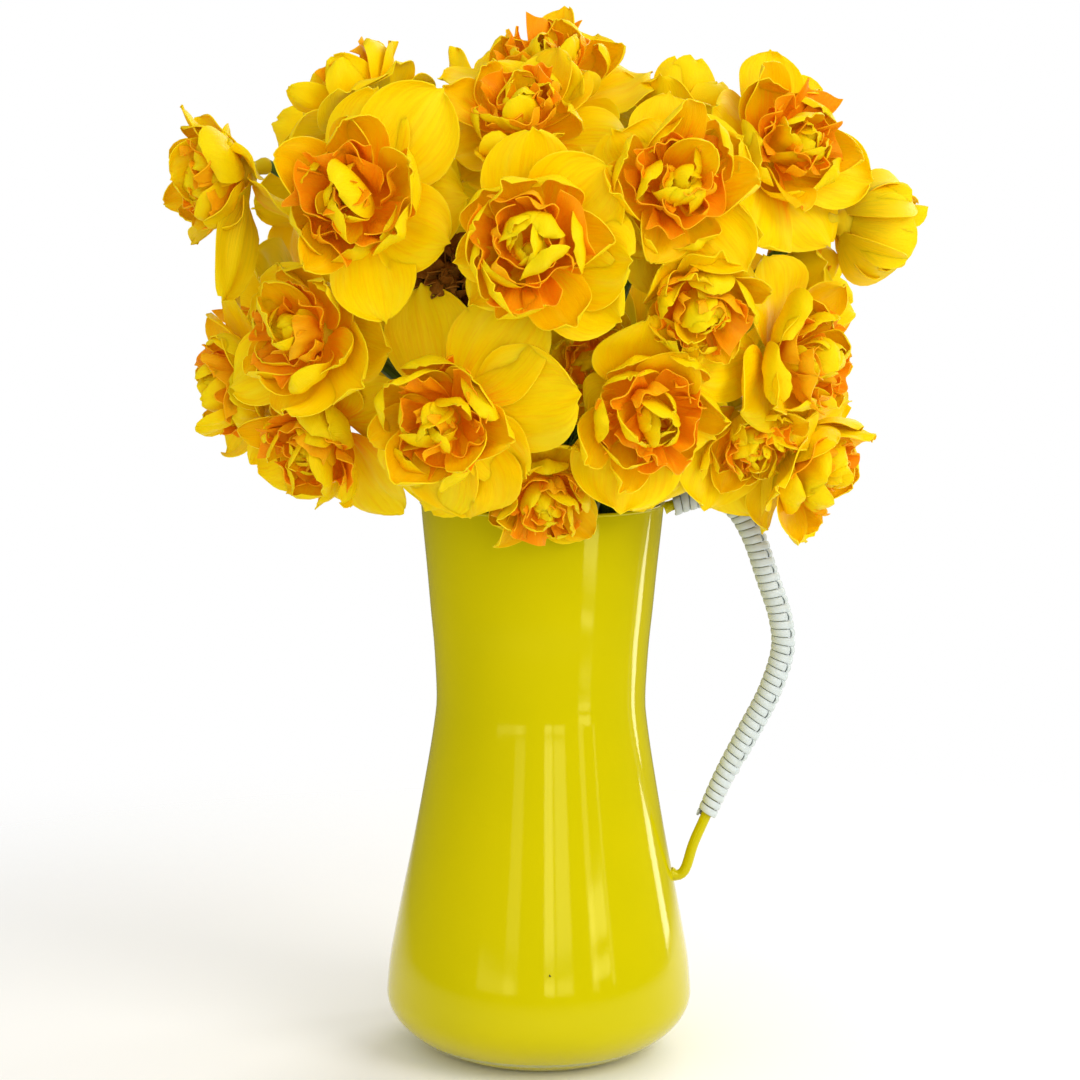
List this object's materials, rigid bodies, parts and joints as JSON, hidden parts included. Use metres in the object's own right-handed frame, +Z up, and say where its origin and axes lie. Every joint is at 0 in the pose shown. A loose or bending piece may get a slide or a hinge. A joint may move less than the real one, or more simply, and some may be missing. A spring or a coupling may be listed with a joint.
{
  "type": "bunch of double daffodils in an enamelled jug",
  "caption": "Full bunch of double daffodils standing in water in a waisted enamelled steel jug with a cane-wrapped handle.",
  "frame": {"origin": "centre of the jug's foot, on the surface that it stands on", "axes": "+Z up along the jug's axis, +X towards the handle, -Y towards the side of the bunch shown in front"},
  "size_m": [0.316, 0.2635, 0.4435],
  "materials": {
    "enamel": "gloss",
    "cane": "satin",
    "petal": "satin",
    "frill": "satin",
    "withered": "matte",
    "stem": "satin",
    "water": "gloss"
  },
  "bodies": {
    "root": {"jug_body": "enamel", "handle_bar": "enamel", "handle_cane": "cane", "water": "water", "stems": "stem", "far_left_petals": "petal", "far_left_frills": "frill", "upper_left_petals": "petal", "upper_left_frills": "frill", "front_left_petals": "petal", "front_left_frills": "frill", "crest_left_petals": "petal", "crest_left_frills": "frill", "crest_front_petals": "petal", "crest_front_frills": "frill", "crest_right_petals": "petal", "crest_right_frills": "frill", "upper_right_petals": "petal", "upper_right_frills": "frill", "far_right_petals": "petal", "far_right_frills": "frill", "front_right_petals": "petal", "front_right_frills": "frill", "front_middle_petals": "petal", "front_middle_frills": "frill", "under_right_petals": "petal", "under_right_frills": "frill", "side_right_petals": "petal", "side_right_frills": "frill", "low_right_petals": "petal", "low_right_frills": "frill", "hanging_right_petals": "petal", "hanging_right_frills": "frill", "middle_right_petals": "petal", "middle_right_frills": "frill", "middle_left_petals": "petal", "middle_left_frills": "frill", "over_rim_petals": "petal", "over_rim_frills": "frill", "side_left_petals": "petal", "side_left_frills": "frill", "outer_left_petals": "petal", "outer_left_frills": "frill", "low_left_petals": "petal", "low_left_frills": "frill", "deep_right_petals": "petal", "deep_right_frills": "frill", "behind_right_petals": "petal", "behind_right_frills": "frill", "withered": "withered", "back_crest": "petal", "back_upper_left": "petal", "back_upper_right": "petal", "back_middle": "petal", "back_outer_left": "petal", "back_outer_right": "petal", "back_low_left": "petal", "back_low_right": "petal"}
  },
  "joints": []
}
